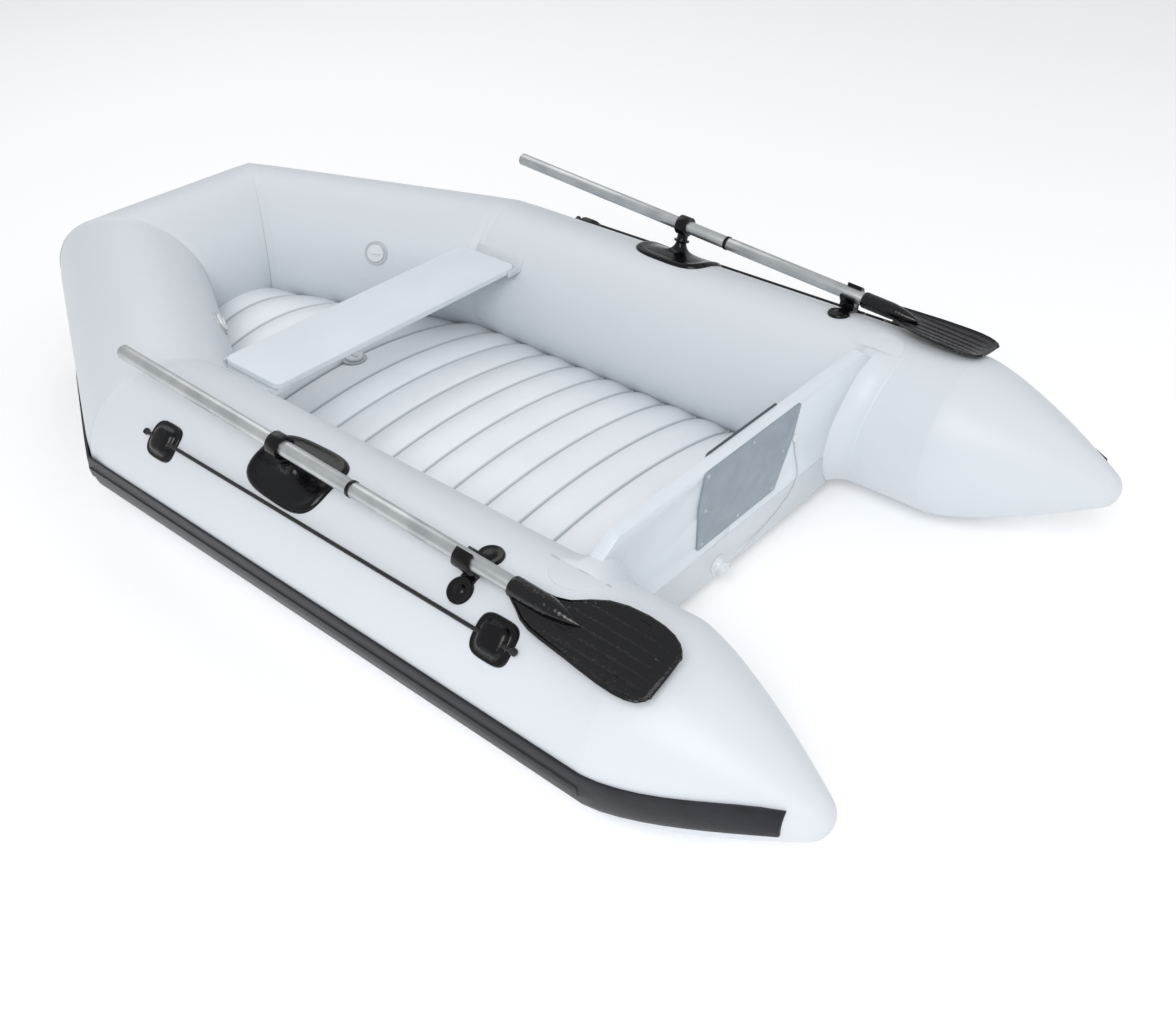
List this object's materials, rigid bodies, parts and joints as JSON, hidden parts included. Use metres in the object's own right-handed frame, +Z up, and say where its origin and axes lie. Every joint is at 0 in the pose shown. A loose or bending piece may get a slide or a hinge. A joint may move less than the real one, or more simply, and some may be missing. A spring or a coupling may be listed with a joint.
{
  "type": "inflatable dinghy",
  "caption": "Inflatable rowing dinghy: five-section bow, stern cones, crowned air floor, raked motor transom, bench seat and stowed two-piece oars in swivelling rowlocks.",
  "frame": {"origin": "centre of the overall box, on the ground plane the hull rests on", "axes": "+X towards the bow, +Y to port, +Z up"},
  "size_m": [2.6797, 1.532, 0.4941],
  "materials": {
    "tube_fabric": "coated, satin",
    "cone_cap_plastic": "satin",
    "strake_rubber": "satin",
    "bottom_fabric": "coated, satin",
    "floor_fabric": "coated, quilted, satin",
    "transom_paint": "painted plywood, satin",
    "holder_plastic": "satin",
    "plate_plastic": "textured",
    "screw_steel": "satin",
    "white_plastic": "satin",
    "cord": "braided",
    "seat_paint": "painted plywood, satin",
    "valve_plastic": "satin",
    "black_plastic": "gloss",
    "shaft_aluminium": "satin anodised"
  },
  "bodies": {
    "hull": {"bottom_skin": "bottom_fabric", "bow_strake": "strake_rubber", "bow_tube_port": "tube_fabric", "bow_tube_starboard": "tube_fabric", "bow_valve_body_port": "valve_plastic", "bow_valve_body_starboard": "valve_plastic", "bulkhead": "tube_fabric", "cone_cap_port": "cone_cap_plastic", "cone_cap_starboard": "cone_cap_plastic", "cone_port": "tube_fabric", "cone_starboard": "tube_fabric", "drain_body": "white_plastic", "drain_lanyard": "cord", "floor": "floor_fabric", "floor_valve_body": "valve_plastic", "front_tube": "tube_fabric", "grab_rope_port": "cord", "grab_rope_starboard": "cord", "keel": "bottom_fabric", "lanyard_anchor": "white_plastic", "motor_plate_inner": "plate_plastic", "motor_plate_outer": "plate_plastic", "oar_keeper_base_port": "black_plastic", "oar_keeper_base_starboard": "black_plastic", "oar_keeper_clip_port": "black_plastic", "oar_keeper_clip_starboard": "black_plastic", "plate_screws": "screw_steel", "rope_pads_port": "black_plastic", "rope_pads_starboard": "black_plastic", "rowlock_base_port": "black_plastic", "rowlock_base_starboard": "black_plastic", "rub_strake_port": "strake_rubber", "rub_strake_starboard": "strake_rubber", "seat_cradles": "holder_plastic", "transom_board": "transom_paint", "transom_holder_port": "holder_plastic", "transom_holder_starboard": "holder_plastic", "transom_patches": "bottom_fabric", "transom_skirt": "bottom_fabric", "tube_port": "tube_fabric", "tube_starboard": "tube_fabric"},
    "oar_port": {"rowlock_ring_port": "black_plastic", "oar_handle_port": "shaft_aluminium"},
    "oar_blade_half_port": {"oar_blade_tube_port": "shaft_aluminium", "oar_collar_port": "black_plastic", "oar_blade_port": "black_plastic"},
    "bow_valve_cap_port": {"bow_valve_cap_port": "valve_plastic"},
    "bow_valve_button_port": {"bow_valve_button_port": "valve_plastic"},
    "oar_starboard": {"rowlock_ring_starboard": "black_plastic", "oar_handle_starboard": "shaft_aluminium"},
    "oar_blade_half_starboard": {"oar_blade_tube_starboard": "shaft_aluminium", "oar_collar_starboard": "black_plastic", "oar_blade_starboard": "black_plastic"},
    "bow_valve_cap_starboard": {"bow_valve_cap_starboard": "valve_plastic"},
    "bow_valve_button_starboard": {"bow_valve_button_starboard": "valve_plastic"},
    "floor_valve_cap": {"floor_valve_cap": "valve_plastic"},
    "floor_valve_button": {"floor_valve_button": "valve_plastic"},
    "drain_plug": {"drain_plug": "white_plastic"},
    "seat": {"seat_board": "seat_paint"}
  },
  "joints": [
    {"name": "rowlock_swing_port", "type": "hinge", "parent": "hull", "child": "oar_port", "pos_m": [-0.11, 0.65428, 0.44056], "axis": [0, 0.3256, 0.9455], "range_deg": [-105, 0], "deforming": ["oar_keeper_clip_port"]},
    {"name": "blade_half_pull_port", "type": "slide", "parent": "oar_port", "child": "oar_blade_half_port", "axis": [-0.9977, -0.0221, -0.0643], "range_m": [0, 0.12]},
    {"name": "bow_valve_cap_lift_port", "type": "slide", "parent": "hull", "child": "bow_valve_cap_port", "axis": [-0.4483, -0.812, 0.3738], "range_m": [0, 0.03]},
    {"name": "bow_valve_button_press_port", "type": "slide", "parent": "hull", "child": "bow_valve_button_port", "axis": [-0.4483, -0.812, 0.3738], "range_m": [-0.004, 0], "stiffness_N_per_m": 400},
    {"name": "rowlock_swing_starboard", "type": "hinge", "parent": "hull", "child": "oar_starboard", "pos_m": [-0.11, -0.65428, 0.44056], "axis": [0, -0.3256, 0.9455], "range_deg": [0, 105], "deforming": ["oar_keeper_clip_starboard"]},
    {"name": "blade_half_pull_starboard", "type": "slide", "parent": "oar_starboard", "child": "oar_blade_half_starboard", "axis": [-0.9977, 0.0221, -0.0643], "range_m": [0, 0.12]},
    {"name": "bow_valve_cap_lift_starboard", "type": "slide", "parent": "hull", "child": "bow_valve_cap_starboard", "axis": [-0.4483, 0.812, 0.3738], "range_m": [0, 0.03]},
    {"name": "bow_valve_button_press_starboard", "type": "slide", "parent": "hull", "child": "bow_valve_button_starboard", "axis": [-0.4483, 0.812, 0.3738], "range_m": [-0.004, 0], "stiffness_N_per_m": 400},
    {"name": "floor_valve_cap_lift", "type": "slide", "parent": "hull", "child": "floor_valve_cap", "axis": [0, 0, 1], "range_m": [0, 0.03]},
    {"name": "floor_valve_button_press", "type": "slide", "parent": "hull", "child": "floor_valve_button", "axis": [0, 0, 1], "range_m": [-0.004, 0], "stiffness_N_per_m": 400},
    {"name": "drain_plug_pull", "type": "slide", "parent": "hull", "child": "drain_plug", "axis": [-0.989, 0, -0.1478], "range_m": [0, 0.04]},
    {"name": "seat_lift", "type": "slide", "parent": "hull", "child": "seat", "axis": [0, 0, 1], "range_m": [0, 0.25]}
  ]
}
